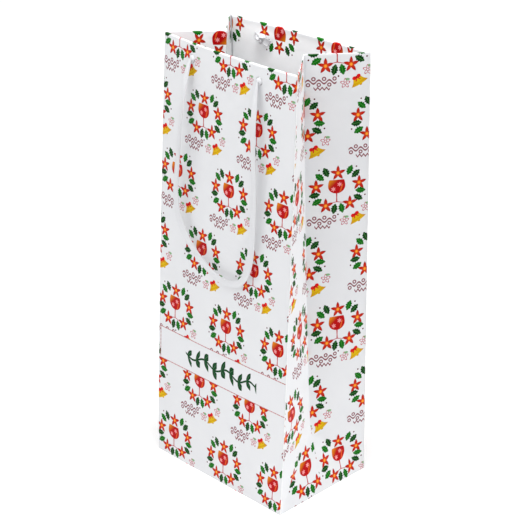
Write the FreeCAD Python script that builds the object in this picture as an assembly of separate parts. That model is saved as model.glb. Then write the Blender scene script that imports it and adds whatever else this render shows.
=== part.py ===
import FreeCAD, Part
import math
import os

from FreeCAD import Vector

# Single-bottle paper gift bag with side gussets, a square bottom and two ribbon handles.
# Millimetres, +Z up, +X to the bag's right, the labelled front panel faces -Y.
# The origin is the middle of the underside.

# ---- driving dimensions -------------------------------------------------------------
WIDTH = 131.0             # outside width of the front and back panels
DEPTH = 92.0              # outside depth at the bottom
HEIGHT = 330.0            # height of a panel, measured along the paper
PAPER = 0.4               # thickness of the printed paper
LEAN_DEG = 1.84           # front and back panels lean in by this much at rest
HEM = 34.0                # height of the paper turned in round the mouth
STIFFENER = 1.0           # thickness of the card inside the hem
STIFFENER_MARGIN = 3.0    # the card stops this far from the panel's sides
CORNER_GAP = 0.3          # room between a panel and the gusset beside it
FLOOR_GAP = 0.3           # panels end this far above the surface the bag stands on

# side gussets: how far the centre crease is pushed in, by height
FOOT_HEIGHT = 46.0        # apex of the lower triangle, half of DEPTH
CREASE = ((FOOT_HEIGHT, 13.4), (150.0, 20.0), (226.0, 24.0), (296.0, 26.7), (329.6, 28.0))
GUSSET_HEM_GAP = 0.1      # room between a gusset and the hem turned in behind it

# bottom
BASE_BOARD = 1.2          # thickness of the loose card in the bottom
BASE_CLEAR = 1.1          # bottom flaps stop this far inside the outside faces
SIDE_FLAP = 42.0
INNER_FLAP = 62.0
SEAM_FLAP = 16.0

# ribbon handles
HOLE_X = 33.0
HOLE_HEIGHT = HEIGHT - 11.0
HOLE_RADIUS = 3.0
CORD = 4.0                # diameter of the round stand-in for the folded ribbon
EXIT_OFF = 2.3            # the ribbon starts this far out from the panel
KNOT = Vector(9.0, 4.5, 8.0)
TAIL = Vector(7.0, 0.8, 15.0)

# Routes of the two handles: across the panel, up the panel, out from the panel.
FRONT_ROUTE = (
    (-HOLE_X, HOLE_HEIGHT, EXIT_OFF), (-33.2, 308.0, 3.6), (-33.0, 295.0, 5.8),
    (-34.0, 278.0, 7.2), (-35.5, 256.0, 8.0), (-38.5, 236.0, 8.0), (-40.5, 220.0, 7.6),
    (-37.5, 203.0, 6.0), (-28.5, 189.0, 4.2), (-12.0, 176.0, 3.4), (6.0, 167.5, 3.2),
    (20.0, 169.5, 3.4), (28.5, 181.0, 4.0), (32.0, 198.0, 4.8), (35.0, 222.0, 5.4),
    (35.8, 248.0, 5.6), (34.0, 272.0, 5.6), (31.5, 291.0, 5.0), (32.5, 307.0, 3.6),
    (HOLE_X, HOLE_HEIGHT, EXIT_OFF),
)
REAR_ROUTE = (
    (-HOLE_X, HOLE_HEIGHT, EXIT_OFF), (-33.0, 308.0, 3.6), (-33.8, 294.0, 5.2),
    (-35.0, 274.0, 6.0), (-36.0, 250.0, 6.2), (-35.5, 224.0, 5.8), (-32.0, 200.0, 5.0),
    (-23.0, 180.0, 4.2), (-8.0, 169.0, 3.6), (9.0, 168.0, 3.6), (23.0, 178.0, 4.2),
    (31.0, 197.0, 5.0), (34.5, 222.0, 5.8), (35.5, 248.0, 6.0), (34.5, 273.0, 5.8),
    (33.0, 293.0, 5.0), (32.8, 308.0, 3.6), (HOLE_X, HOLE_HEIGHT, EXIT_OFF),
)

LEAN = math.radians(LEAN_DEG)
X_AXIS = Vector(1, 0, 0)
Y_AXIS = Vector(0, 1, 0)
FRONT_FOOT = Vector(0, -DEPTH / 2, 0)

parts = {}


# ---- helpers ------------------------------------------------------------------------
def block(x0, x1, y0, y1, z0, z1):
    """A box between two corners."""
    return Part.makeBox(x1 - x0, y1 - y0, z1 - z0, Vector(x0, y0, z0))


def across(shape):
    """The same shape on the other side of the bag, front to back."""
    return shape.mirror(Vector(0, 0, 0), Y_AXIS)


def lean_in(shape):
    """Tip an upright front-side shape in about the front panel's bottom edge."""
    tipped = shape.copy()
    tipped.rotate(FRONT_FOOT, X_AXIS, -LEAN_DEG)
    return tipped


def on_panel(x, up, off):
    """A point of the leaning front panel: across it, up it and out from its face."""
    y = -DEPTH / 2 + up * math.sin(LEAN) - off * math.cos(LEAN)
    z = up * math.cos(LEAN) + off * math.sin(LEAN)
    return Vector(x, y, z)


def face_through(*corners):
    return Part.Face(Part.makePolygon(list(corners) + [corners[0]]))


def folded_sheet(side_a, side_b, push):
    """A thin solid between two polylines, made of flat triangles and moved by push."""
    faces = []
    for i in range(len(side_a) - 1):
        a0, a1 = side_a[i], side_a[i + 1]
        b0, b1 = side_b[i], side_b[i + 1]
        for triangle in ((a0, b0, b1), (a0, b1, a1)):
            faces.append(face_through(*triangle))
            faces.append(face_through(*[p + push for p in triangle]))
        faces.append(face_through(a0, a1, a1 + push, a0 + push))
        faces.append(face_through(b0, b1, b1 + push, b0 + push))
    for a, b in ((side_a[0], side_b[0]), (side_a[-1], side_b[-1])):
        faces.append(face_through(a, b, b + push, a + push))
    shell = Part.makeShell(faces)
    shell.sewShape()
    solid = Part.makeSolid(shell)
    if solid.Volume < 0:
        solid.reverse()
    return solid


def tube(points, diameter, label):
    """A round tube along straight runs joined by tangent arcs."""
    edges = []
    radii = []
    start = points[0]
    for before, corner, after in zip(points, points[1:], points[2:]):
        run_in = corner - before
        run_out = after - corner
        turn = run_in.getAngle(run_out)
        cut = 0.45 * min(run_in.Length, run_out.Length)
        to_corner = Vector(run_in).normalize()
        from_corner = Vector(run_out).normalize()
        arc_start = corner - to_corner * cut
        arc_end = corner + from_corner * cut
        radius = cut / math.tan(turn / 2)
        radii.append(radius)
        inward = (from_corner - to_corner).normalize()
        arc_middle = corner + inward * (math.hypot(radius, cut) - radius)
        edges.append(Part.LineSegment(start, arc_start).toShape())
        edges.append(Part.Arc(arc_start, arc_middle, arc_end).toShape())
        start = arc_end
    edges.append(Part.LineSegment(start, points[-1]).toShape())
    path = Part.Wire(edges)
    direction = points[1] - points[0]
    section = Part.Wire(Part.makeCircle(diameter / 2, points[0], direction))
    solid = path.makePipeShell([section], True, True)
    expected = math.pi * diameter ** 2 / 4 * path.Length
    print(label, "length %.1f volume %.4f of expected" % (path.Length, solid.Volume / expected),
          "smallest radius %.1f" % min(radii))
    return solid


# ---- front and back walls -----------------------------------------------------------
def punch(shape):
    """Both ribbon holes, straight through an upright front-side shape."""
    for x in (-HOLE_X, HOLE_X):
        drill = Part.makeCylinder(HOLE_RADIUS, 20.0, Vector(x, -DEPTH / 2 - 5.0, HOLE_HEIGHT), Y_AXIS)
        shape = shape.cut(drill)
    return shape


def wall_panel():
    return punch(block(-WIDTH / 2, WIDTH / 2, -DEPTH / 2, -DEPTH / 2 + PAPER, FLOOR_GAP, HEIGHT - PAPER))


def wall_stiffener():
    half = WIDTH / 2 - STIFFENER_MARGIN
    face = -DEPTH / 2 + PAPER
    return punch(block(-half, half, face, face + STIFFENER, HEIGHT - HEM, HEIGHT - PAPER))


def wall_hem():
    """The turned-in paper: over the top edge and down the inside of the stiffener."""
    half = WIDTH / 2 - STIFFENER_MARGIN
    face = -DEPTH / 2 + PAPER + STIFFENER
    turn = block(-half, half, -DEPTH / 2, face + PAPER, HEIGHT - PAPER, HEIGHT)
    leaf = block(-half, half, face, face + PAPER, HEIGHT - HEM, HEIGHT - PAPER)
    return punch(turn.fuse(leaf).removeSplitter())


def ribbon_knot(x, tail_side):
    """The knot behind a hole, with its stub through the hole and its cut end."""
    face = -DEPTH / 2 + 2 * PAPER + STIFFENER
    body = block(x - KNOT.x / 2, x + KNOT.x / 2, face, face + KNOT.y,
                 HOLE_HEIGHT - KNOT.z / 2, HOLE_HEIGHT + KNOT.z / 2)
    body = body.makeFillet(1.8, body.Edges)
    stub_length = face + 1.0 + DEPTH / 2
    stub = Part.makeCylinder(CORD / 2, stub_length, Vector(x, -DEPTH / 2, HOLE_HEIGHT), Y_AXIS)
    tail_y = face + KNOT.y / 2 - TAIL.y / 2
    tail = block(-TAIL.x / 2, TAIL.x / 2, tail_y, tail_y + TAIL.y, -TAIL.z, 0)
    tail.rotate(Vector(0, tail_y, 0), Y_AXIS, 25.0 * tail_side)
    tail.translate(Vector(x, 0, HOLE_HEIGHT - 1.5))
    return body.fuse([stub, tail]).removeSplitter()


for side, place in (("front", lean_in), ("back", lambda shape: across(lean_in(shape)))):
    parts[side + "_panel"] = place(wall_panel())
    parts[side + "_stiffener"] = place(wall_stiffener())
    parts[side + "_hem"] = place(wall_hem())
    parts[side + "_knot_left"] = place(ribbon_knot(-HOLE_X, 1))
    parts[side + "_knot_right"] = place(ribbon_knot(HOLE_X, -1))

# The glue seam: a strip of the left gusset's paper stuck inside the back panel.
seam = block(-WIDTH / 2 + 1.0, -WIDTH / 2 + 1.0 + SEAM_FLAP, -DEPTH / 2 + PAPER, -DEPTH / 2 + 2 * PAPER,
             4.0, HEIGHT - HEM - 1.0)
parts["seam_flap"] = across(lean_in(seam))


# ---- side gussets -------------------------------------------------------------------
def gusset_half(levels, first_edge_z):
    """Right front half of a gusset: its panel-side edge and its centre crease, by level."""
    edge = []
    crease = []
    for index, (z, pushed_in) in enumerate(levels):
        edge_z = first_edge_z if index == 0 else z
        edge_y = -DEPTH / 2 + edge_z * math.tan(LEAN) + PAPER + CORNER_GAP
        edge.append(Vector(WIDTH / 2, edge_y, edge_z))
        crease.append(Vector(WIDTH / 2 - pushed_in, 0, z))
    return edge, crease


def gusset_hem():
    """The turned-in paper behind the top of a gusset half, clear of the panel's hem."""
    levels = CREASE[-2:]
    edge, crease = gusset_half(levels, levels[0][0])
    step = Vector(-PAPER - GUSSET_HEM_GAP, 0, 0)
    side = [e + (c - e) * ((PAPER + STIFFENER) / (c.y - e.y)) + step for e, c in zip(edge, crease)]
    return folded_sheet(side, [c + step for c in crease], Vector(-PAPER, 0, 0))


wall_edge, wall_crease = gusset_half(CREASE, PAPER)
wall_half = folded_sheet(wall_edge, wall_crease, Vector(-PAPER, 0, 0))
hem_half = gusset_hem()

foot_corner = wall_edge[0]
foot_face = face_through(foot_corner, wall_crease[0], Vector(foot_corner.x, -foot_corner.y, foot_corner.z))
foot = foot_face.extrude(Vector(-PAPER, 0, 0))


def to_left(shape):
    return shape.mirror(Vector(0, 0, 0), X_AXIS)


parts["right_gusset_front"] = wall_half
parts["right_gusset_rear"] = across(wall_half)
parts["left_gusset_front"] = to_left(wall_half)
parts["left_gusset_rear"] = to_left(across(wall_half))
parts["right_gusset_hem_front"] = hem_half
parts["right_gusset_hem_rear"] = across(hem_half)
parts["left_gusset_hem_front"] = to_left(hem_half)
parts["left_gusset_hem_rear"] = to_left(across(hem_half))
parts["right_gusset_foot"] = foot
parts["left_gusset_foot"] = to_left(foot)


# ---- bottom -------------------------------------------------------------------------
half_x = WIDTH / 2 - BASE_CLEAR
half_y = DEPTH / 2 - BASE_CLEAR
parts["bottom_outer_flap"] = block(-half_x, half_x, -half_y, half_y, 0, PAPER)
parts["bottom_inner_flap"] = block(-half_x, half_x, -half_y, -half_y + INNER_FLAP, PAPER, 2 * PAPER)


def side_flap():
    """Right tuck flap: as long as the bag is deep at its fold, with mitred ends."""
    level = 2 * PAPER
    mitre = 20.0
    outline = face_through(
        Vector(half_x, -half_y, level),
        Vector(half_x, half_y, level),
        Vector(half_x - SIDE_FLAP, half_y - mitre, level),
        Vector(half_x - SIDE_FLAP, -half_y + mitre, level),
    )
    return outline.extrude(Vector(0, 0, PAPER))


parts["bottom_right_flap"] = side_flap()
parts["bottom_left_flap"] = to_left(side_flap())
board_level = 3 * PAPER
board_x = half_x - 0.9
board = block(-board_x, board_x, -half_y, half_y, board_level, board_level + BASE_BOARD)
corner_edges = [edge for edge in board.Edges if abs(edge.tangentAt(edge.FirstParameter).z) > 0.9]
parts["base_board"] = board.makeFillet(2.0, corner_edges)


# ---- ribbon handles -----------------------------------------------------------------
def handle(route, label):
    return tube([on_panel(*point) for point in route], CORD, label)


parts["front_handle"] = handle(FRONT_ROUTE, "front_handle")
parts["rear_handle"] = across(handle(REAR_ROUTE, "rear_handle"))


# ---- write --------------------------------------------------------------------------
os.makedirs("parts", exist_ok=True)
for node, shape in parts.items():
    if not shape.isValid():
        raise ValueError(node + " is not a valid solid")
    shape.exportStep("parts/%s.step" % node)
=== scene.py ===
import math

import bmesh
import bpy
from mathutils import Matrix, Vector, noise


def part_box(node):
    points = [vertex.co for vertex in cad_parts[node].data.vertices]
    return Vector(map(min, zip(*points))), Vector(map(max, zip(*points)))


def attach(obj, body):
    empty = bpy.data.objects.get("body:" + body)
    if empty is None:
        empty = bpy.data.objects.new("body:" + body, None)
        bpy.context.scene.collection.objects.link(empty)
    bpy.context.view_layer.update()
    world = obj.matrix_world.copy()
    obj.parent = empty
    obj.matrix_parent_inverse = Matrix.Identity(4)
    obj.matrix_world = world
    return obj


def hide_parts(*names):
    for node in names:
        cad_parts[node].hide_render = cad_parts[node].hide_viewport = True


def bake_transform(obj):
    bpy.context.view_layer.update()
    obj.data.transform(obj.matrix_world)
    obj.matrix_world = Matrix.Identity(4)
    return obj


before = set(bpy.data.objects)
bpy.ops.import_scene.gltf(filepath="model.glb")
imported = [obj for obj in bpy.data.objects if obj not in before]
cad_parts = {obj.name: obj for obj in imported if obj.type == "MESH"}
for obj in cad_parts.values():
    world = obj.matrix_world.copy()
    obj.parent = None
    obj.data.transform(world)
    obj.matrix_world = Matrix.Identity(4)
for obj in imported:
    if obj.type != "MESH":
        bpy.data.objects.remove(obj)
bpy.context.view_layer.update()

MM = 0.001

# A tall paper carrier for one bottle: printed sheets with side gussets, a hem round the mouth
# and a ribbon handle on each wide wall.  x runs to the right, y to the back, z up.

# ---- the bag's sizes, in millimetres -----------------------------------------------------
low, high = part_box("front_panel")
HALF_W = (high[0] - low[0]) / MM / 2
HALF_D = -low[1] / MM
TALL = 330.0                   # a wall's height, measured along the paper
PAPER = 0.4
CARD = 1.0                     # the stiffener inside each wide wall's hem
HEM = 34.0
HOLE_X = 33.0                  # each ribbon hole from the wall's middle
HOLE_UP = 319.0
HOLE_R = 3.0
HOLE_MID = 4.2                 # a ring of mesh round each hole
HOLE_PATCH = 6.0               # half the square of paper whose mesh runs round a hole
PATCH_IN = HOLE_X - HOLE_PATCH
PATCH_OUT = HOLE_X + HOLE_PATCH
FOOT = 46.0                    # height of the gussets' lower triangles
FOOT_SLOPE = 0.291             # how fast a gusset is pinched in over that height
MOUTH_PINCH = 14.6             # how much further in it is at the mouth
GUSSET = 46.3                  # a gusset half's width

scene = bpy.context.scene
col = scene.collection


# ======================================================================================
# camera
# ======================================================================================
cam_data = bpy.data.cameras.new("camera")
cam_data.lens = 111.7
cam_data.sensor_width = 36.0
cam_data.shift_x = 0.0039
cam_data.shift_y = -0.0068
cam_data.clip_end = 50.0
camera = bpy.data.objects.new("camera", cam_data)
col.objects.link(camera)
camera.location = (0.7591, -0.7649, 0.6668)
yaw, pitch, roll = math.radians(134.72), math.radians(-24.93), math.radians(0.2875)
look = Vector((math.cos(pitch) * math.cos(yaw), math.cos(pitch) * math.sin(yaw), math.sin(pitch)))
camera.rotation_mode = "QUATERNION"
camera.rotation_quaternion = look.to_track_quat("-Z", "Y") @ Matrix.Rotation(roll, 3, "Z").to_quaternion()
scene.camera = camera
scene.view_settings.view_transform = "Standard"


# ======================================================================================
# the walls' surfaces, in millimetres
# ======================================================================================
def clamped(value):
    """The value, held between 0 and 1."""
    return max(min(value, 1.0), 0.0)


def eased(share):
    """From 0 to 1 with a soft start and end."""
    share = clamped(share)
    return share * share * (3 - 2 * share)


def front_y(x, up):
    """The front panel's outer face: it leans in, more at its left, and bows out at the top."""
    share = clamped(up / TALL)
    left = -HALF_D + 15.6 * share ** 1.3
    right = -HALF_D + 11.8 * share ** 0.85
    across = x / HALF_W
    mix = (across + 1) / 2
    bow = (1 - across * across) * (3.6 * share ** 3 + 0.8 * math.sin(math.pi * share))
    return left * (1 - mix) + right * mix - bow


def back_y(x, up):
    """The back panel's outer face, the same way."""
    share = clamped(up / TALL)
    left = HALF_D - 12.6 * share ** 1.1
    right = HALF_D - 8.1 * share ** 0.95
    across = x / HALF_W
    mix = (across + 1) / 2
    bow = (1 - across * across) * (1.4 * share ** 3 + 0.8 * math.sin(math.pi * share))
    return left * (1 - mix) + right * mix + bow


def ripple(x, up, seed):
    """Slow, shallow unevenness of a hanging sheet of paper."""
    edge = 1 - (x / HALF_W) ** 4
    return 0.35 * edge * noise.noise(Vector((x / 38, up / 55, seed)))


def wall_y(side, x, up):
    """A wall's outer face with its unevenness: side is -1 front or 1 back."""
    if side < 0:
        return front_y(x, up) + ripple(x, up, 1.7)
    return back_y(x, up) + ripple(x, up, 9.1)


def wall(side, x, up, off):
    """A point of a wall; off is how far inward of the outer face it lies."""
    slope = (wall_y(side, x, up + 1) - wall_y(side, x, up - 1)) / 2 * -side
    length = math.hypot(1, slope)
    return Vector((x, wall_y(side, x, up) - side * off / length, up - slope * off / length))


def pinch(up):
    """How far a gusset's centre crease is pushed in."""
    if up <= FOOT:
        return FOOT_SLOPE * up
    return FOOT_SLOPE * FOOT + MOUTH_PINCH * ((up - FOOT) / (TALL - FOOT)) ** 0.75


def crease_y(up):
    """Midway between the walls' right edges, which both gussets' centre creases follow."""
    return (front_y(HALF_W, up) + back_y(HALF_W, up)) / 2


def gusset(x_side, y_side, u, up, off):
    """A point of a gusset half: u runs from the wall's edge to the centre crease."""
    wall_gap = 0.45
    edge = Vector((HALF_W, (front_y if y_side < 0 else back_y)(x_side * HALF_W, up), up))
    edge.y -= y_side * wall_gap
    middle_y = crease_y(up) * (max(up - FOOT, 0) / (TALL - FOOT))
    if up < FOOT:
        fold_u = up + 0.001
        fold = Vector((HALF_W - pinch(up), y_side * max(HALF_D - up, 0), up))
        if u < fold_u:
            point = edge.lerp(fold, u / fold_u)
        else:
            point = fold.lerp(Vector((fold.x, 0, up)), (u - fold_u) / max(GUSSET - fold_u, 0.01))
    else:
        point = edge.lerp(Vector((HALF_W - pinch(up), middle_y, up)), u / GUSSET)
    share = u / GUSSET
    belly = math.sin(math.pi * share) * min(up / 90, 1)
    point.x += belly * (0.9 + 0.5 * noise.noise(Vector((u / 30, up / 45, 4 + y_side + 2 * x_side))))
    point.x -= off
    point.x *= x_side
    return point


def over_the_top(v, depth, radius):
    """Where a sheet that is folded over the mouth lies: (height, inward), by distance along it."""
    straight = TALL - radius
    turn = math.pi * radius
    if v <= straight:
        return v, depth
    if v <= straight + turn:
        angle = (v - straight) / radius
        return straight + (radius - depth) * math.sin(angle), radius - (radius - depth) * math.cos(angle)
    return straight - (v - straight - turn), 2 * radius - depth


# ======================================================================================
# the handles' lines: (across the panel, up it, out from it), control points of a spline
# ======================================================================================
FRONT_ROUTE = (
    (-33.0, 319.0, 1.6), (-34.0, 309.0, 4.0), (-34.2, 296.0, 6.8),
    (-34.2, 278.0, 9.2), (-35.0, 256.0, 10.0), (-37.2, 236.0, 9.6), (-39.0, 220.0, 8.8),
    (-37.2, 203.0, 7.6), (-29.0, 188.5, 6.4), (-13.0, 175.5, 5.8), (5.0, 167.0, 5.2),
    (21.5, 168.5, 5.0), (31.0, 180.0, 5.0), (34.6, 198.0, 5.4), (36.0, 222.0, 5.8),
    (36.4, 248.0, 6.2), (35.6, 272.0, 7.2), (34.6, 291.0, 6.6), (33.8, 307.0, 4.0),
    (33.0, 319.0, 1.6),
)
REAR_ROUTE = (
    (-33.0, 319.0, 1.4), (-33.0, 308.0, 3.0), (-33.8, 294.0, 4.8),
    (-35.0, 274.0, 6.0), (-36.0, 250.0, 6.2), (-35.5, 224.0, 5.8), (-32.0, 200.0, 5.0),
    (-23.0, 180.0, 4.2), (-8.0, 169.0, 3.6), (9.0, 168.0, 3.6), (23.0, 178.0, 4.2),
    (31.0, 197.0, 5.0), (34.5, 222.0, 5.8), (35.5, 248.0, 6.0), (34.5, 273.0, 4.8),
    (33.2, 292.0, 2.9), (32.9, 304.0, 1.3), (32.9, 312.0, 0.4), (33.0, 319.0, -0.3),
)
RIBBON = 5.0                   # its width
RIBBON_THICK = 0.45
GATHER_RUN = 14                # it is gathered to half its width over this much at each end
CUP_RUN = 22                   # and cupped over this much


def smooth_points(name, side, route):
    """Points along the NURBS spline whose control points are the route's."""
    curve = bpy.data.curves.new(name, "CURVE")
    curve.dimensions = "3D"
    curve.resolution_u = 12
    spline = curve.splines.new("NURBS")
    spline.points.add(len(route) - 1)
    for point, (x, up, off) in zip(spline.points, route):
        place = wall(side, x, up, -off) * MM
        point.co = (place.x, place.y, place.z, 1.0)
    spline.order_u = 3
    spline.use_endpoint_u = True
    holder = bpy.data.objects.new(name, curve)
    mesh = bpy.data.meshes.new_from_object(holder)
    points = [v.co.copy() for v in mesh.vertices]
    bpy.data.meshes.remove(mesh)
    bpy.data.curves.remove(curve)
    return points


def between(stops, at):
    """Smooth value between (place, value) stops."""
    for (a, va), (b, vb) in zip(stops, stops[1:]):
        if at <= b:
            return va + (vb - va) * eased((at - a) / (b - a))
    return stops[-1][1]


def add_strip(bm, rings, lengths, widths, loop=False):
    """A closed strip from cross-section rings; UV runs across and along, in millimetres."""
    uv = bm.loops.layers.uv.get("sheet") or bm.loops.layers.uv.new("sheet")
    rows = [[bm.verts.new(p) for p in ring] for ring in rings]
    count = len(rows[0])
    for i in range(len(rows) - (0 if loop else 1)):
        n = (i + 1) % len(rows)
        for j in range(count):
            k = (j + 1) % count
            face = bm.faces.new((rows[i][j], rows[i][k], rows[n][k], rows[n][j]))
            for corner, (a, b) in zip(face.loops, ((i, j), (i, k), (i + 1, k), (i + 1, j))):
                corner[uv].uv = (widths[b], lengths[a])
            face.smooth = True
    if not loop:
        bm.faces.new(list(reversed(rows[0])))
        bm.faces.new(rows[-1])


SHARP = math.radians(50)       # an edge that turns by more than this stays sharp


def finished(name, bm, materials):
    """The bmesh as a linked object."""
    bmesh.ops.recalc_face_normals(bm, faces=bm.faces)
    mesh = bpy.data.meshes.new(name)
    bm.to_mesh(mesh)
    bm.free()
    for material in materials:
        mesh.materials.append(material)
    mesh.set_sharp_from_angle(angle=SHARP)
    obj = bpy.data.objects.new(name, mesh)
    col.objects.link(obj)
    return obj


def ribbon(name, side, route, twist, hollow, material):
    """A flat ribbon along the route's spline; twist is its turn off the panel, by share."""
    points = smooth_points(name + "_line", side, route)
    along = [0.0]
    for a, b in zip(points, points[1:]):
        along.append(along[-1] + (b - a).length)
    total = along[-1]
    outward = Vector((0, side, 0))
    rings = []
    steps = 6
    for i, point in enumerate(points):
        ahead = points[min(i + 1, len(points) - 1)] - points[max(i - 1, 0)]
        ahead.normalize()
        share = along[i] / total
        # a frame on the line: across the ribbon and away from the panel, then turned by the twist
        across = ahead.cross(outward).normalized()
        away = across.cross(ahead).normalized()
        if away.dot(outward) < 0:
            away = -away
        turn = math.radians(between(twist, share))
        wide = across * math.cos(turn) + away * math.sin(turn)
        flat = wide.cross(ahead).normalized()
        end = min(along[i], total - along[i]) / MM
        gather = 0.5 + 0.5 * min(end / GATHER_RUN, 1) ** 0.7
        cup = hollow * (1 - min(end / CUP_RUN, 1)) + 0.05 + 0.06 * math.sin(9 * share)
        half = RIBBON * gather / 2 * MM
        top, under = [], []
        for s in range(steps + 1):
            t = s / steps * 2 - 1
            wave = 0.16 * MM * math.sin(share * 23 + t * 2.2)
            mid = point + wide * (t * half) + flat * (cup * half * (t * t - 0.4) + wave)
            top.append(mid + flat * RIBBON_THICK / 2 * MM)
            under.append(mid - flat * RIBBON_THICK / 2 * MM)
        rings.append(top + list(reversed(under)))
    places = [s / steps * RIBBON for s in range(steps + 1)]
    bm = bmesh.new()
    add_strip(bm, rings, [a / MM for a in along], places + list(reversed(places)))
    return finished(name, bm, [material]), points, total


def knot(name, side, x, material):
    """The ribbon's end: pleated through the hole, knotted inside, with two short tails."""
    seat = wall(side, x, HOLE_UP, 0.0)
    inward = (wall(side, x, HOLE_UP, 1.0) - seat).normalized()
    right = Vector((1, 0, 0))
    upward = inward.cross(right) * -side
    if upward.z < 0:
        upward = -upward

    def at(a, b, c):
        return (seat + right * a + upward * b + inward * c) * MM

    bm = bmesh.new()
    # pleats filling the hole: (inward, radius) from the outside in
    rings = []
    spokes = 20
    profile = ((-1.25, 0.6), (-1.05, 1.6), (-0.55, 2.2), (0.0, 2.45), (0.7, 2.6), (2.0, 2.6), (3.6, 2.3))
    for c, radius in profile:
        drop = -0.5 * max(-c, 0)
        ring = []
        for k in range(spokes):
            angle = 2 * math.pi * k / spokes
            pleat = radius * (1 + 0.09 * math.cos(5 * angle + 0.6 * c))
            ring.append(at(pleat * math.cos(angle), drop + pleat * math.sin(angle) * (1.1 - 0.1 * c / 3), c))
        rings.append(ring)
    around = [k / spokes * RIBBON for k in range(spokes)]
    add_strip(bm, rings, [c for c, _ in profile], around)
    # the knot itself: a flat strand on a trefoil's line
    turns = 72
    sides = 12
    size, middle, lowest = 1.15, 4.15, 1.9
    centre = []
    for k in range(turns):
        t = 2 * math.pi * k / turns
        centre.append(Vector((size * (math.sin(t) + 1.9 * math.sin(2 * t)) * 1.12,
                              size * (math.cos(t) - 1.9 * math.cos(2 * t)) * 0.92,
                              middle - size * math.sin(3 * t))))
    rings, lengths, run = [], [0.0], 0.0
    for k in range(turns):
        ahead = (centre[(k + 1) % turns] - centre[k - 1]).normalized()
        out = Vector((centre[k].x, centre[k].y, 0.8)).normalized()
        wide = ahead.cross(out).normalized()
        thin = wide.cross(ahead).normalized()
        ring = []
        for m in range(sides):
            angle = 2 * math.pi * m / sides
            spot = centre[k] + wide * 1.55 * math.cos(angle) + thin * 0.72 * math.sin(angle)
            ring.append(at(spot.x, spot.y, max(spot.z, lowest)))
        rings.append(ring)
        run += (centre[(k + 1) % turns] - centre[k]).length
        lengths.append(run)
    add_strip(bm, rings, lengths, [abs(m / sides * 2 - 1) * RIBBON for m in range(sides)], loop=True)
    # two tails, cut on the slant: (heading in degrees, length, lift)
    pieces = 10
    thin_half = 0.22
    for heading, long, lift in ((-14, 8.6, 0.5), (168, 6.6, 0.8)):
        way = Vector((math.cos(math.radians(heading)), math.sin(math.radians(heading)), 0))
        over = Vector((-way.y, way.x, 0))
        rings, lengths = [], []
        for i in range(pieces + 1):
            run = i / pieces * long
            half = 1.5 + 1.25 * min(run / 4, 1)
            ring, under = [], []
            for j in range(5):
                t = j / 2 - 1
                reach = run + (0.9 * t if i == pieces else 0)
                height = 4.4 + lift * math.sin(run / long * 2.4) + 0.35 * t * t - run * 0.12
                spot = way * reach + over * half * t
                ring.append(at(spot.x, spot.y, height - thin_half))
                under.append(at(spot.x, spot.y, height + thin_half))
            rings.append(ring + list(reversed(under)))
            lengths.append(run)
        spots = [j / 4 * RIBBON for j in range(5)]
        add_strip(bm, rings, lengths, spots + list(reversed(spots)))
    return finished(name, bm, [material])


# ======================================================================================
# materials
# ======================================================================================
def srgb(r, g, b):
    """A node colour from 0 to 255 screen values."""
    def linear(c):
        c /= 255
        return c / 12.92 if c <= 0.04045 else ((c + 0.055) / 1.055) ** 2.4
    return (linear(r), linear(g), linear(b), 1.0)


class Value:
    """A number inside a node tree, with arithmetic."""

    def __init__(self, tree, socket):
        self.tree = tree
        self.socket = socket

    def result(self, name, values, clamp=False):
        """What a math node makes of these values and numbers."""
        node = self.tree.nodes.new("ShaderNodeMath")
        node.operation = name
        node.use_clamp = clamp
        for slot, value in zip(node.inputs, values):
            if isinstance(value, Value):
                self.tree.links.new(value.socket, slot)
            else:
                slot.default_value = float(value)
        return Value(self.tree, node.outputs[0])

    def op(self, name, *others, clamp=False):
        """A math node of this operation, with this value first."""
        return self.result(name, (self,) + others, clamp)

    def __add__(self, other):
        return self.op("ADD", other)

    def __sub__(self, other):
        return self.op("SUBTRACT", other)

    def __rsub__(self, other):
        return self.result("SUBTRACT", (other, self))

    def __mul__(self, other):
        return self.op("MULTIPLY", other)

    def __truediv__(self, other):
        return self.op("DIVIDE", other)

    def __abs__(self):
        return self.op("ABSOLUTE")

    def times_plus(self, factor, term):
        return self.op("MULTIPLY_ADD", factor, term)

    def ink(self, soft=0.14):
        """1 where this signed distance is positive, with a soft edge."""
        return self.op("MULTIPLY_ADD", 1 / soft, 0.5, clamp=True)


def length2(a, b):
    return (a * a + b * b).op("SQRT")


class Painter:
    """Lays inks over one another in a material's node tree."""

    def __init__(self, tree, mask, a, b):
        """The ground varies between two colours."""
        self.tree = tree
        self.colour = self.blend(mask, a, b)

    def blend(self, mask, a, b):
        """A socket between a and b, each of them a colour or a socket."""
        mix = self.tree.nodes.new("ShaderNodeMix")
        mix.data_type = "RGBA"
        self.tree.links.new(mask.socket, mix.inputs["Factor"])
        for slot, value in ((mix.inputs[6], a), (mix.inputs[7], b)):
            if isinstance(value, bpy.types.NodeSocket):
                self.tree.links.new(value, slot)
            else:
                slot.default_value = value
        return mix.outputs[2]

    def lay(self, mask, colour):
        """One ink over what is there, where the mask is 1."""
        self.colour = self.blend(mask, self.colour, colour)


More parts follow.
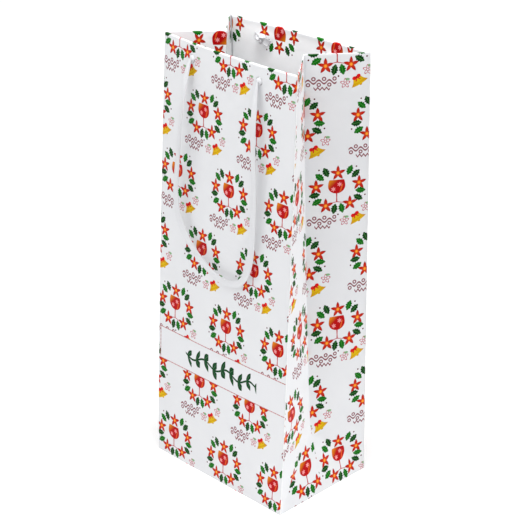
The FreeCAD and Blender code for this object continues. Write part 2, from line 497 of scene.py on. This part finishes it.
PITCH_X, PITCH_Y = 60.0, 52.2  # the print's repeat; each row is half a repeat along
WALL_STRETCH = 60.0 / 53.0     # the print is narrower on the wide walls
FIRST_X, FIRST_UP = 49.6, 281.3
CELL_TOP = 19.3                # how far one repeat reaches above its wreath's middle
PRINT_END = 352.0              # the print stops this far along the sheet, inside the hem
STEP = math.radians(72)        # the wreath has five flowers
RING = 13.2                    # the flowers' distance from the middle
RING_WIDE = 1.15               # the wreath is wider than tall
TIP = 0.04                     # and a little tipped
RED = srgb(180, 12, 8)
FLAME = srgb(206, 52, 18)
DEEP_RED = srgb(124, 6, 10)
BERRY = srgb(84, 6, 24)
WINE = srgb(176, 5, 10)
BURGUNDY = srgb(120, 16, 42)
BRIGHT_GREEN = srgb(0, 100, 5)
DARK_GREEN = srgb(0, 60, 10)
PALE_GREEN = srgb(110, 176, 90)
GOLD = srgb(212, 178, 8)
AMBER = srgb(192, 136, 6)
ORANGE = srgb(248, 166, 46)
PINK = srgb(246, 170, 172)


def wreath(paint, x, y):
    """Five red star flowers and five pairs of holly leaves round a wine glass."""
    angle = (x / RING_WIDE).op("ARCTAN2", y)
    # holly, two leaves in each gap between flowers
    gap = (angle / STEP).op("FLOOR").times_plus(STEP, STEP / 2)
    sin_gap, cos_gap = gap.op("SINE"), gap.op("COSINE")
    away = cos_gap.times_plus(1.3, 15.0)
    dx = x - sin_gap * away * RING_WIDE
    dy = y - cos_gap * away - x * TIP
    out = dx * sin_gap + dy * cos_gap
    side = dx * cos_gap - dy * sin_gap
    near = abs(side) - 2.75
    tilt = math.radians(12)
    lengthways = out * math.cos(tilt) + near * math.sin(tilt)
    sideways = near * math.cos(tilt) - out * math.sin(tilt)
    taper = 1 - (lengthways * lengthways) / 16.0
    scallop = abs((lengthways * 1.75).op("COSINE")).times_plus(0.36, 0.72)
    leaf = taper * scallop * 2.4 - abs(sideways)
    green = paint.blend(side.ink(0.3), BRIGHT_GREEN, DARK_GREEN)
    paint.lay(leaf.ink(), green)
    vein = (0.12 - abs(sideways)).op("MINIMUM", leaf - 0.3)
    paint.lay(vein.ink(0.2) * 0.5, PALE_GREEN)
    berry = 0.62 - length2(out - 4.6, side)
    paint.lay(berry.ink(), BERRY)
    # flowers
    star = (angle / STEP).op("ROUND") * STEP
    sin_star, cos_star = star.op("SINE"), star.op("COSINE")
    fx = x - sin_star * cos_star.times_plus(0.09 * RING, 1.222 * RING)
    fy = y - cos_star * RING - x * TIP
    far = length2(fx, fy)
    turn = fx.op("ARCTAN2", fy).op("PINGPONG", STEP / 2) / (STEP / 2)
    petal = (1 - turn).op("POWER", 1.25).times_plus(3.65, 2.05)
    flower = petal - far
    shade = paint.blend((far / 4.4).op("POWER", 1.7, clamp=True), FLAME, RED)
    paint.lay(flower.ink(), shade)
    rim = (0.42 - flower).op("MINIMUM", flower)
    paint.lay(rim.ink(0.5) * 0.75, DEEP_RED)
    crease = (0.1 - turn * far * 0.5).op("MINIMUM", flower - 0.5).op("MINIMUM", far - 1.2)
    paint.lay(crease.ink(0.3) * 0.5, DEEP_RED)
    paint.lay((1.0 - far).ink(1.1), ORANGE)
    # wine glass
    gx, gy = x + 0.9, y - 3.4
    bowl = (1 - length2(gx / 6.3, (gy / 9.0).op("MAXIMUM", gy / -5.6))) * 5.5
    bowl = bowl.op("MINIMUM", 4.8 - gy)
    glow = (gy - gx - 3.0).op("MULTIPLY_ADD", 0.2, 0.0, clamp=True)
    wine = paint.blend(glow, WINE, srgb(205, 118, 12))
    paint.lay(bowl.ink(), wine)
    shine = (0.55 - abs(gx - 3.9 - gy * 0.28)).op("MINIMUM", bowl - 0.6).op("MINIMUM", 1.2 - gy)
    paint.lay(shine.ink(0.5) * 0.6, srgb(232, 112, 40))
    # two six-armed flakes on the bowl
    pick = (gx * 0.8 + gy * 0.5).op("GREATER_THAN", -0.6)
    cx = gx + 2.5 - pick * 4.6
    cy = gy + 2.2 - pick * 3.4
    reach = length2(cx, cy)
    arm = cx.op("ARCTAN2", cy).op("PINGPONG", math.radians(30)).op("SINE") * reach
    flake = (0.2 - arm).op("MAXIMUM", 0.16 - abs(reach - 0.95)).op("MINIMUM", 1.75 - reach)
    flake = flake.op("MINIMUM", bowl - 0.4)
    paint.lay(flake.ink(0.2) * 0.85, PINK)
    stem = (0.36 - abs(gx) + abs(y + 5.4) * 0.05).op("MINIMUM", 3.4 - abs(y + 5.4))
    paint.lay(stem.ink(0.2), srgb(176, 26, 34))
    foot = 0.3 - abs(y + 8.5 + abs(gx) * 0.2) - abs(gx) * 0.02
    foot = foot.op("MINIMUM", 5.2 - abs(gx))
    paint.lay(foot.ink(0.25), srgb(170, 40, 50))


def below_wreath(paint, x, y):
    """A vine flourish, two rosettes and a golden bell."""
    # the vine: a wavy stem with a ring in each bend, and a shorter one under it
    shifted = x + 22.5
    wave = (shifted * (2 * math.pi / 7.2)).op("SINE")
    vine = 0.5 - abs(y + 22.0 - wave * 1.3) * 0.8
    cell = shifted.op("WRAP", 3.6, 0.0) - 1.8
    bend = (shifted * (math.pi / 3.6)).op("SINE").op("SIGN")
    ring = 0.42 - abs(length2(cell, y + 22.0 + bend * 2.1) - 1.1)
    vine = vine.op("MAXIMUM", ring).op("MINIMUM", 10.6 - abs(x + 11.9))
    second = 0.46 - abs(y + 27.0 - (x * 2.1).op("SINE") * 0.8) * 0.7
    vine = vine.op("MAXIMUM", second.op("MINIMUM", 5.6 - abs(x + 11.5)))
    paint.lay(vine.ink(0.25) * 0.92, BURGUNDY)
    # rosettes
    pick = x.op("GREATER_THAN", 12.0)
    rx = x - 4.8 - pick * 16.2
    ry = y + 23.6 - pick * 9.0
    r = length2(rx, ry)
    lobes = (rx.op("ARCTAN2", ry) * 5).op("COSINE").times_plus(0.85, 2.5)
    rosette = (0.3 - abs(r - lobes) * 0.8).op("MAXIMUM", 0.26 - abs(r - 0.95))
    paint.lay(rosette.ink(0.25) * 0.9, srgb(176, 30, 62))
    sprig = 0.9 - length2((rx - 1.6) * 0.55, ry - 2.9)
    paint.lay(sprig.ink(0.3) * 0.8, srgb(80, 150, 70))
    # bell, its mouth towards the lower right
    bx, by = x - 12.9, y + 19.7
    down = bx * 0.49 - by * 0.87
    along = bx * 0.87 + by * 0.49
    wide = abs(along)
    flare = (down / 5.0).op("POWER", 3.0).times_plus(2.2, 2.9) + down * 0.4
    bell = (flare - wide).op("MINIMUM", down + 1.0)
    bell = bell.op("MINIMUM", 5.8 - down - wide * wide * 0.02)
    body = paint.blend((wide / 5.8).op("POWER", 1.8, clamp=True), GOLD, AMBER)
    paint.lay((1.0 - length2(along - 0.3, down - 5.7)).ink(), AMBER)
    paint.lay(bell.ink(), body)
    rim = (0.3 - abs(down + wide * wide * 0.02 - 4.3)).op("MINIMUM", bell)
    paint.lay(rim.ink(0.25) * 0.7, srgb(196, 128, 8))
    # bow on the bell
    bow = (1.55 - length2(wide - 1.75, (down + 0.2) * 1.15)).op("MAXIMUM", 0.8 - length2(wide, down + 0.2))
    tails = (0.5 - abs(wide - down * 0.7)).op("MINIMUM", down).op("MINIMUM", 2.6 - down)
    paint.lay(bow.op("MAXIMUM", tails).ink(), srgb(206, 16, 20))
    paint.lay((0.55 - length2(wide, down + 0.2)).ink(0.3), DEEP_RED)


def label_band(paint, x, up):
    """A blank white band with thin broken rules and a leafy spray in the middle."""
    middle, half, left = 91.9, 12.6, 2.2
    inside = (half - abs(up - middle)).op("MINIMUM", x - left)
    paint.lay(inside.ink(0.2), srgb(221, 222, 225))
    edge = abs(half - abs(up - middle))
    broken = (x * 2.3).op("SINE") * (x * 0.71).op("SINE")
    rule = (0.34 - edge).op("MINIMUM", x - 2.0)
    paint.lay(rule.ink(0.25) * (broken * 0.25 + 0.72), srgb(168, 40, 44))
    end = (0.34 - abs(x - left)).op("MINIMUM", half - abs(up - middle))
    paint.lay(end.ink(0.25) * ((up * 2.1).op("SINE") * 0.25 + 0.72), srgb(150, 30, 36))
    # the spray: a waving stem with paired leaves, larger in the middle
    sx, sy = x - 74.0, up - middle
    reach = 1 - (sx / 42.0) * (sx / 42.0)
    wave = (sx * (2 * math.pi / 27.0)).op("SINE") * 2.2
    stem = (0.8 - abs(sy - wave)).op("MINIMUM", reach * 4)
    ink = srgb(6, 62, 26)
    paint.lay(stem.ink(0.25), ink)
    cell = sx.op("WRAP", 5.0, -5.0)
    lift = abs(sy - wave)
    lean = math.radians(50)
    p = cell * math.cos(lean) + lift * math.sin(lean) - 4.4
    q = lift * math.cos(lean) - cell * math.sin(lean)
    size = reach.op("MAXIMUM", 0.0).op("SQRT").times_plus(0.6, 0.4)
    leaf = (1 - (p / 4.6) * (p / 4.6)) * 2.5 * size - abs(q)
    leaf = leaf.op("MINIMUM", reach * 4)
    paint.lay(leaf.ink(0.2), ink)
    vein = (0.1 - abs(q)).op("MINIMUM", leaf - 0.3)
    paint.lay(vein.ink(0.2) * 0.45, srgb(120, 170, 130))


def new_material(name):
    material = bpy.data.materials.new(name)
    material.use_nodes = True
    tree = material.node_tree
    return material, tree, tree.nodes["Principled BSDF"]


def sheet_xy(tree):
    """The sheet's own coordinates, in millimetres."""
    uv = tree.nodes.new("ShaderNodeUVMap")
    uv.uv_map = "sheet"
    split = tree.nodes.new("ShaderNodeSeparateXYZ")
    tree.links.new(uv.outputs[0], split.inputs[0])
    return uv.outputs[0], Value(tree, split.outputs[0]), Value(tree, split.outputs[1])


def noise_value(tree, vector, scale, detail=3.0, roughness=0.5):
    """Soft noise from 0 to 1."""
    node = tree.nodes.new("ShaderNodeTexNoise")
    node.inputs["Scale"].default_value = scale
    node.inputs["Detail"].default_value = detail
    node.inputs["Roughness"].default_value = roughness
    tree.links.new(vector, node.inputs["Vector"])
    return Value(tree, node.outputs[0])


def bump(tree, shader, height, strength, distance):
    node = tree.nodes.new("ShaderNodeBump")
    node.inputs["Strength"].default_value = strength
    node.inputs["Distance"].default_value = distance
    tree.links.new(height.socket, node.inputs["Height"])
    tree.links.new(node.outputs[0], shader.inputs["Normal"])


def printed_paper(name, label, hem_tone_and_painted_light=(224, 225, 228)):
    """Coated white paper with the repeating print; the map's numbers are millimetres."""
    material, tree, shader = new_material(name)
    vector, x, up = sheet_xy(tree)
    cloud = noise_value(tree, vector, 0.045, 2.0)
    paint = Painter(tree, cloud, srgb(218, 219, 222), srgb(223, 224, 226))
    # past the fold the paper takes the hem's tone, which on the back and the gussets is painted lighter than
    # the outside: painted light on the inside of the mouth
    turned_in = ((up - TALL - 1) / 7).op("SMOOTH_MIN", 1.0, 0.3, clamp=True)
    paint.lay(turned_in, srgb(*hem_tone_and_painted_light))
    row = ((up - (FIRST_UP + CELL_TOP)) / PITCH_Y).op("FLOOR")
    cell_y = up - (FIRST_UP + PITCH_Y) - row * PITCH_Y
    shift = row.op("WRAP", 2.0, 0.0) * (PITCH_X / 2)
    cell_x = (x - FIRST_X + shift - PITCH_X / 2).op("WRAP", PITCH_X / 2, -PITCH_X / 2)
    wreath(paint, cell_x, cell_y)
    below_wreath(paint, cell_x, cell_y)
    # past the print's end the hem's tone again, with its painted light on the back and the gussets
    paint.lay((up - PRINT_END).ink(0.2), srgb(*hem_tone_and_painted_light))
    if label:
        label_band(paint, x, up)
    tree.links.new(paint.colour, shader.inputs["Base Color"])
    grain = noise_value(tree, vector, 2.6, 4.0, 0.65)
    rough = grain * 0.16 + 0.36
    tree.links.new(rough.socket, shader.inputs["Roughness"])
    shader.inputs["IOR"].default_value = 1.46
    shader.inputs["Specular IOR Level"].default_value = 0.09
    slow = noise_value(tree, vector, 0.07, 2.0)
    bump(tree, shader, grain * 0.02 + slow * 1.4, 0.5, 0.0008)
    return material


def plain_paper(name, tone=(243, 244, 246)):
    """The sheet's unprinted side: matt, with a faint fibre."""
    material, tree, shader = new_material(name)
    vector = sheet_xy(tree)[0]
    cloud = noise_value(tree, vector, 0.06, 3.0)
    fibre = noise_value(tree, vector, 1.7, 5.0, 0.7)
    light = [min(c + 7, 255) for c in tone]
    paint = Painter(tree, cloud, srgb(*tone), srgb(*light))
    speck = (fibre - 0.68).op("MULTIPLY", 4.0, clamp=True)
    paint.lay(speck * 0.25, srgb(*[c - 18 for c in tone]))
    tree.links.new(paint.colour, shader.inputs["Base Color"])
    tree.links.new((fibre * 0.2 + 0.55).socket, shader.inputs["Roughness"])
    shader.inputs["Specular IOR Level"].default_value = 0.25
    bump(tree, shader, fibre * 0.03 + cloud * 0.8, 0.5, 0.0008)
    return material


def card_material(name, dark, pale, fleck_tone):
    """Pale board with short fibres and flecks."""
    material, tree, shader = new_material(name)
    place = tree.nodes.new("ShaderNodeTexCoord").outputs["Object"]
    fibre = noise_value(tree, place, 900.0, 5.0, 0.7)
    cloud = noise_value(tree, place, 30.0, 2.0)
    paint = Painter(tree, cloud, srgb(*dark), srgb(*pale))
    fleck = (fibre - 0.64).op("MULTIPLY", 6.0, clamp=True)
    paint.lay(fleck * 0.4, srgb(*fleck_tone))
    tree.links.new(paint.colour, shader.inputs["Base Color"])
    tree.links.new((fibre * 0.2 + 0.66).socket, shader.inputs["Roughness"])
    bump(tree, shader, fibre, 0.35, 0.0002)
    return material


def ribbon_material(name):
    """White satin ribbon: fine ribs across it, a woven edge and a soft sheen."""
    material, tree, shader = new_material(name)
    vector, across, along = sheet_xy(tree)
    rib = (along * (2 * math.pi / 0.55)).op("SINE")
    warp = (across * (2 * math.pi / 0.4)).op("SINE")
    edge = (abs(across - RIBBON / 2) - (RIBBON / 2 - 0.7)).ink(0.15)
    weave = rib * 0.5 + warp * 0.22 + edge * 1.2
    streak = noise_value(tree, vector, 0.5, 3.0)
    paint = Painter(tree, streak, srgb(213, 214, 217), srgb(219, 220, 223))
    paint.lay((rib * 0.5 + 0.5) * 0.07, srgb(198, 199, 204))
    tree.links.new(paint.colour, shader.inputs["Base Color"])
    tree.links.new((streak * 0.15 + 0.34).socket, shader.inputs["Roughness"])
    shader.inputs["Sheen Weight"].default_value = 0.08
    shader.inputs["Sheen Roughness"].default_value = 0.4
    shader.inputs["Anisotropic"].default_value = 0.4
    bump(tree, shader, weave, 0.35, 0.00015)
    return material


front_print = printed_paper("front_print", True)
# the back's and the gussets' hems get a lighter tone: painted light inside the mouth
back_print = printed_paper("back_print", False, (248, 249, 250))
side_print = printed_paper("side_print", False, (246, 247, 248))
inside_paper = plain_paper("inside_paper")
edge_paper = plain_paper("edge_paper", (238, 238, 238))
card = card_material("card_board", (214, 212, 206), (226, 225, 220), (176, 170, 160))
fold_paper = card_material("fold_paper", (238, 239, 241), (245, 246, 247), (222, 223, 226))
satin = ribbon_material("white_satin")


# ======================================================================================
# sheets of paper
# ======================================================================================
def marks(*spans):
    """Grid lines: (from, to, about how far apart), joined up."""
    lines = []
    for start, stop, gap in spans:
        count = max(1, round((stop - start) / gap))
        lines += [start + (stop - start) * i / count for i in range(count)]
    lines.append(spans[-1][1])
    return lines


def paper_sheet(name, us, vs, place, holes, sheet_uv, materials, thick=PAPER):
    """A closed thin sheet over a (u, v) grid with round holes.

    place gives a point by u, v and depth into the sheet, and sheet_uv its place on the print.
    The materials are the outside's, the inside's and the edge's.
    """
    close = 1e-6
    faces = []
    index = {}
    flat = []

    def vertex(u, v):
        key = (round(u, 4), round(v, 4))
        if key not in index:
            index[key] = len(flat)
            flat.append((u, v))
        return index[key]

    for i in range(len(us) - 1):
        for j in range(len(vs) - 1):
            mu, mv = (us[i] + us[i + 1]) / 2, (vs[j] + vs[j + 1]) / 2
            if any(abs(mu - hu) < HOLE_PATCH and abs(mv - hv) < HOLE_PATCH for hu, hv in holes):
                continue
            faces.append([vertex(us[i], vs[j]), vertex(us[i + 1], vs[j]),
                          vertex(us[i + 1], vs[j + 1]), vertex(us[i], vs[j + 1])])
    for hu, hv in holes:
        frame_points = []
        for u in [w for w in us if abs(w - hu) <= HOLE_PATCH + close]:
            for v in [w for w in vs if abs(w - hv) <= HOLE_PATCH + close]:
                on_u = abs(abs(u - hu) - HOLE_PATCH) < close
                on_v = abs(abs(v - hv) - HOLE_PATCH) < close
                if on_u or on_v:
                    frame_points.append((math.atan2(v - hv, u - hu), u, v))
        frame_points.sort()
        outer = [vertex(u, v) for _, u, v in frame_points]
        mid, rim = [[vertex(hu + r * math.cos(a), hv + r * math.sin(a)) for a, _, _ in frame_points]
                    for r in (HOLE_MID, HOLE_R)]
        for ring_a, ring_b in ((outer, mid), (mid, rim)):
            for k in range(len(ring_a)):
                n = (k + 1) % len(ring_a)
                faces.append([ring_a[k], ring_a[n], ring_b[n], ring_b[k]])

    bm = bmesh.new()
    layer = bm.loops.layers.uv.new("sheet")
    outer_verts = [bm.verts.new(place(u, v, 0.0) * MM) for u, v in flat]
    inner_verts = [bm.verts.new(place(u, v, thick) * MM) for u, v in flat]
    edges = {}
    for face in faces:
        for a, b in zip(face, face[1:] + face[:1]):
            edges[(a, b)] = edges.get((a, b), 0) + 1

    def add(corners, spots, slot):
        made = bm.faces.new(corners)
        made.material_index = slot
        made.smooth = True
        for loop, spot in zip(made.loops, spots):
            loop[layer].uv = sheet_uv(*flat[spot])

    for face in faces:
        add([outer_verts[k] for k in face], face, 0)
        add([inner_verts[k] for k in reversed(face)], list(reversed(face)), 1)
    for (a, b) in edges:
        if (b, a) not in edges:
            add([outer_verts[b], outer_verts[a], inner_verts[a], inner_verts[b]], (b, a, a, b), 2)
    return finished(name, bm, materials)


WALL_RADIUS = (2 * PAPER + CARD) / 2   # the fold goes round the stiffener
WALL_FOLD = TALL - WALL_RADIUS
WALL_TURN = math.pi * WALL_RADIUS
WALL_END = TALL - WALL_RADIUS + math.pi * WALL_RADIUS + HEM
HEM_HALF = HALF_W - 3.0                # the turned-in part is narrower than the wall
PATCH_LOW = HOLE_UP - HOLE_PATCH
PATCH_HIGH = HOLE_UP + HOLE_PATCH


def wall_columns():
    """Grid lines across a wide wall, closer at its edges and round the holes."""
    edge = HALF_W - 2
    return marks((-HALF_W, -HALF_W + 2, 0.5), (-HALF_W + 2, -PATCH_OUT, 4), (-PATCH_OUT, -PATCH_IN, 3),
                 (-PATCH_IN, PATCH_IN, 4.5), (PATCH_IN, PATCH_OUT, 3), (PATCH_OUT, edge, 4),
                 (edge, HALF_W, 0.5))


def wall_rows():
    """Grid lines up a wide wall and down its hem, and where the hem's holes are."""
    hem = WALL_FOLD + WALL_TURN
    hole = hem + (WALL_FOLD - HOLE_UP)
    return marks((0.3, 3, 0.9), (3, PATCH_LOW, 6), (PATCH_LOW, PATCH_HIGH, 3), (PATCH_HIGH, WALL_FOLD, 1.4),
                 (WALL_FOLD, hem, 0.36), (hem, hole - HOLE_PATCH, 1.5),
                 (hole - HOLE_PATCH, hole + HOLE_PATCH, 3), (hole + HOLE_PATCH, WALL_END, 4)), hole


def wall_place(side):
    """Where a wide wall's sheet lies, with rounded side and bottom creases and its hem."""
    narrower = (HALF_W - HEM_HALF) / (HALF_W - PATCH_OUT)

    def place(u, v, depth):
        up, inward = over_the_top(v, depth, WALL_RADIUS)
        turned = clamped((v - WALL_FOLD) / WALL_TURN)
        x = u
        if turned and abs(u) > PATCH_OUT:
            x = math.copysign(PATCH_OUT + (abs(u) - PATCH_OUT) * (1 - turned * narrower), u)
        corner = max(abs(u) - (HALF_W - 1.0), 0) * (1 - turned)
        bottom = max(1.2 - up, 0) / 1.2
        inward += 0.55 * corner ** 2 + 0.5 * bottom ** 2
        return wall(side, x, up, inward)
    return place


def print_stretch(v):
    """How far the print is stretched up the sheet at mid height."""
    return 2.1 * math.sin(math.pi * clamped((v - 19) / 261))


def print_up(v):
    """The wide walls' print slips down towards the bottom and a little near the mouth."""
    slip = 0.6 - 2.6 * max((150 - v) / 150, 0) ** 1.2 - 1.7 * eased((v - 284) / 20)
    return v - print_stretch(v) - slip - 0.5 * eased((v - TALL) / 8)


def side_print_up(v):
    """The gussets' print, the same way."""
    slip = 1.2 - 4.0 * eased((190 - v) / 130) - 2.2 * eased((v - 286) / 24)
    return v - print_stretch(v) - slip


def front_slip(u):
    """How far the front's print lies to the right of its even spacing."""
    return 2.4 * max(1 - ((u + 10) / 62) ** 2, 0)


def wall_piece(name, side, material, uv_start):
    """A wide wall with its hem, in one sheet; its print starts at uv_start from the middle."""
    rows, hole_v = wall_rows()
    holes = [(x, v) for x in (-HOLE_X, HOLE_X) for v in (HOLE_UP, hole_v)]

    def spread(u, v):
        slip = front_slip(u) if side < 0 else 0.0
        return ((uv_start - side * u - slip) * WALL_STRETCH, print_up(v))

    return paper_sheet(name, wall_columns(), rows, wall_place(side), holes, spread,
                       [material, inside_paper, edge_paper])


BACK_SHIFT = 199               # how much further round the blank the back's print starts
for side, side_name, material, uv_start in ((-1, "front", front_print, HALF_W),
                                            (1, "back", back_print, HALF_W + BACK_SHIFT)):
    piece = wall_piece(side_name + "_sheet", side, material, uv_start)
    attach(piece, side_name + "_wall")
    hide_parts(side_name + "_panel", side_name + "_hem")


SNUG = 0.02                    # left between pieces that lie on each other


def stiffener(name, side):
    """The card inside a wide wall's hem, with its two holes."""
    cols = marks((-HEM_HALF, -PATCH_OUT, 4.5), (-PATCH_OUT, -PATCH_IN, 3), (-PATCH_IN, PATCH_IN, 6),
                 (PATCH_IN, PATCH_OUT, 3), (PATCH_OUT, HEM_HALF, 4.5))
    rows = marks((TALL - HEM + 0.5, PATCH_LOW, 4), (PATCH_LOW, PATCH_HIGH, 3), (PATCH_HIGH, WALL_FOLD, 2))
    return paper_sheet(name, cols, rows, lambda u, v, d: wall(side, u * 0.995, v, PAPER + SNUG + d * 0.96),
                       [(-HOLE_X, HOLE_UP), (HOLE_X, HOLE_UP)], lambda u, v: (u, v),
                       [card, card, card], thick=CARD)


for side, side_name in ((-1, "front"), (1, "back")):
    piece = stiffener(side_name + "_hem_card", side)
    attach(piece, side_name + "_wall")
    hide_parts(side_name + "_stiffener")

# ---- gussets ---------------------------------------------------------------------------
FOLD_RADIUS = 0.47             # the gussets have no stiffener in their hem
SIDE_FOLD = TALL - FOLD_RADIUS
SIDE_TURN = math.pi * FOLD_RADIUS
HEM_SLANT = 2.6                # the turned-in part starts this far from the wall's edge
RIGHT_SHIFT = 10.2             # where the print starts at the right gusset's front edge
LEFT_SHIFT = 60.0              # and at the left one's

# the right gusset's front half is the exception: its wreaths' middles are this far from the
# front edge, by height
STRIP_STOPS = ((20, 34.0), (73, 44.0), (132, 27.0), (185, 24.5), (237, 14.2), (287, 14.5))
WREATH_X = 19.6                # where a wreath's middle lies on the print


def strip_spread(u, v):
    """The print on the right gusset's front half."""
    for (below, a), (above, b) in zip(STRIP_STOPS, STRIP_STOPS[1:]):
        middle = a + (b - a) * clamped((v - below) / (above - below))
        if v <= above:
            break
    return WREATH_X - middle + u, side_print_up(v) - 2 - 4 * eased((v - 75) / 45)


def even_spread(start, way):
    """The print from start at the wall's edge, way being 1 forward or -1 backward."""
    return lambda u, v: (start + way * u, side_print_up(v))


def gusset_piece(name, x_side, y_side, spread):
    """One half of a gusset with its hem, which bends between the base and its wall."""
    hem = SIDE_FOLD + SIDE_TURN
    end = hem + HEM
    cols = marks((0, 3, 1.0), (3, GUSSET - 1.3, 2.4), (GUSSET - 1.3, GUSSET, 1.3))
    rows = marks((0.4, 60, 2.0), (60, 324, 6), (324, SIDE_FOLD, 1.8), (SIDE_FOLD, hem, 0.3), (hem, end, 5))

    def place(u, v, depth):
        up, inward = over_the_top(v, depth, FOLD_RADIUS)
        turned = clamped((v - SIDE_FOLD) / SIDE_TURN)
        u_in = u + turned * HEM_SLANT * (1 - u / GUSSET)
        return gusset(x_side, y_side, u_in, up, inward)

    piece = paper_sheet(name, cols, rows, place, [], spread,
                        [side_print, inside_paper, edge_paper])
    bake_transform(piece)
    return piece


for x_side, x_name, y_side, y_name, spread in (
        (1, "right", -1, "front", strip_spread),
        (1, "right", 1, "rear", even_spread(RIGHT_SHIFT + 2 * GUSSET, -1)),
        (-1, "left", -1, "front", even_spread(LEFT_SHIFT, -1)),
        (-1, "left", 1, "rear", even_spread(LEFT_SHIFT - 2 * GUSSET, 1))):
    piece = gusset_piece("%s_side_%s" % (x_name, y_name), x_side, y_side, spread)
    nodes = ["%s_gusset_%s" % (x_name, y_name), "%s_gusset_hem_%s" % (x_name, y_name)]
    if y_side < 0:
        nodes.append(x_name + "_gusset_foot")
    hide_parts(*nodes)

# ---- glue seam and bottom ----------------------------------------------------------------
SEAM_LEFT, SEAM_RIGHT = -HALF_W + 1, -HALF_W + 17
seam = paper_sheet("glue_seam", marks((SEAM_LEFT, SEAM_RIGHT, 4)), marks((4, TALL - HEM - 1, 6)),
                   lambda u, v, d: wall(1, u, v, PAPER + SNUG + d), [], lambda u, v: (u, v),
                   [inside_paper, inside_paper, edge_paper])
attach(seam, "back_wall")
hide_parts("seam_flap")

flap_low, flap_high = [[c / MM for c in corner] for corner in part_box("bottom_outer_flap")]
flap_thick = flap_high[2] - flap_low[2]
flap_cols, flap_rows = [marks((flap_low[k], flap_high[k], 3)) for k in (0, 1)]
bottom = paper_sheet("bottom_outside", flap_cols, flap_rows,
                     lambda u, v, d: Vector((u, v, flap_low[2] + d * flap_thick / PAPER)), [],
                     lambda u, v: (u + HALF_W, v - HALF_D), [side_print, inside_paper, edge_paper])
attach(bottom, "base")
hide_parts("bottom_outer_flap")

# the CAD's own inner flaps and board stay, in better paper and card
for node_name, material in (("bottom_inner_flap", fold_paper), ("bottom_right_flap", fold_paper),
                            ("bottom_left_flap", fold_paper), ("base_board", card)):
    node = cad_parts[node_name]
    node.data.materials.clear()
    node.data.materials.append(material)

# ======================================================================================
# ribbon handles
# ======================================================================================
# how far each ribbon is turned off its panel: (share of its length, degrees)
FRONT_TWIST = ((0.0, -8), (0.1, -16), (0.28, -10), (0.36, 14), (0.43, 8), (0.5, 0), (0.58, 0),
               (0.64, -14), (0.74, -4), (0.86, 7), (1.0, 5))
REAR_TWIST = ((0.0, 6), (0.15, 20), (0.35, 14), (0.5, 0), (0.68, -14), (0.85, -8), (1.0, 0))
for name, side, route, twist, hollow, handle in (
        ("front_ribbon", -1, FRONT_ROUTE, FRONT_TWIST, 0.5, "front_handle"),
        ("rear_ribbon", 1, REAR_ROUTE, REAR_TWIST, 0.1, "rear_handle")):
    piece, line, total = ribbon(name, side, route, twist, hollow, satin)
    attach(piece, handle)
    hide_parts(handle)

for side, side_name in ((-1, "front"), (1, "back")):
    for x, x_name in ((-HOLE_X, "left"), (HOLE_X, "right")):
        node_name = "%s_knot_%s" % (side_name, x_name)
        piece = knot(node_name.replace("knot", "ribbon_end"), side, x, satin)
        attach(piece, side_name + "_wall")
        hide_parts(node_name)

# ======================================================================================
# floor and light
# ======================================================================================
REACH = 12.0                   # half the floor's width, in metres
DOME_RADIUS = 16.0
floor_mesh = bpy.data.meshes.new("floor")
floor_mesh.from_pydata([(-REACH, -REACH, 0), (REACH, -REACH, 0), (REACH, REACH, 0), (-REACH, REACH, 0)],
                       [], [(0, 1, 2, 3)])
floor = bpy.data.objects.new("floor", floor_mesh)
floor.location.z = -0.0002
col.objects.link(floor)
floor_paint, tree, shader = new_material("pale_floor")
shader.inputs["Base Color"].default_value = (0.94, 0.94, 0.94, 1)
shader.inputs["Roughness"].default_value = 0.9
shader.inputs["Emission Color"].default_value = (1, 1, 1, 1)
shader.inputs["Emission Strength"].default_value = 0.33
floor_mesh.materials.append(floor_paint)

# a plain white backdrop all round, seen but giving no light of its own
dome_bm = bmesh.new()
bmesh.ops.create_uvsphere(dome_bm, u_segments=32, v_segments=16, radius=DOME_RADIUS)
dome_mesh = bpy.data.meshes.new("backdrop")
dome_bm.to_mesh(dome_mesh)
dome_bm.free()
dome = bpy.data.objects.new("backdrop", dome_mesh)
col.objects.link(dome)
for ray in ("diffuse", "glossy", "transmission", "volume_scatter", "shadow"):
    setattr(dome, "visible_" + ray, False)
dome_paint, tree, shader = new_material("white_backdrop")
shader.inputs["Base Color"].default_value = (0.9, 0.9, 0.9, 1)
shader.inputs["Emission Color"].default_value = (1, 1, 1, 1)
shader.inputs["Emission Strength"].default_value = 1.0
dome_mesh.materials.append(dome_paint)

world = bpy.data.worlds.new("world")
world.use_nodes = True
world.node_tree.nodes["Background"].inputs[0].default_value = (1, 1, 1, 1)
world.node_tree.nodes["Background"].inputs[1].default_value = 0.06
scene.world = world


def soft_sun(name, towards, strength, spread):
    """Even light from one direction; spread is its softness in degrees."""
    data = bpy.data.lights.new(name, "SUN")
    data.energy = strength * math.pi
    data.angle = math.radians(spread)
    lamp = bpy.data.objects.new(name, data)
    lamp.location = Vector(towards) * 3
    lamp.rotation_mode = "QUATERNION"
    lamp.rotation_quaternion = (-Vector(towards)).to_track_quat("-Z", "Y")
    col.objects.link(lamp)


soft_sun("top", (0.05, -0.1, 1.0), 0.10, 70)
soft_sun("front", (-0.10, -0.74, 0.66), 0.345, 60)
soft_sun("key", (-0.77, -0.43, 0.48), 0.135, 70)
soft_sun("right", (0.87, 0.10, 0.48), 0.055, 40)
soft_sun("rim", (0.55, 0.73, 0.41), 0.58, 30)
soft_sun("fill", (0.68, -0.66, 0.42), 0.20, 60)

# a small lamp over the mouth lights the inside of the walls
mouth_data = bpy.data.lights.new("mouth", "AREA")
mouth_data.energy = 1.4
mouth_data.size = 0.14
mouth = bpy.data.objects.new("mouth", mouth_data)
mouth.location = (0.02, -0.03, 0.63)
col.objects.link(mouth)
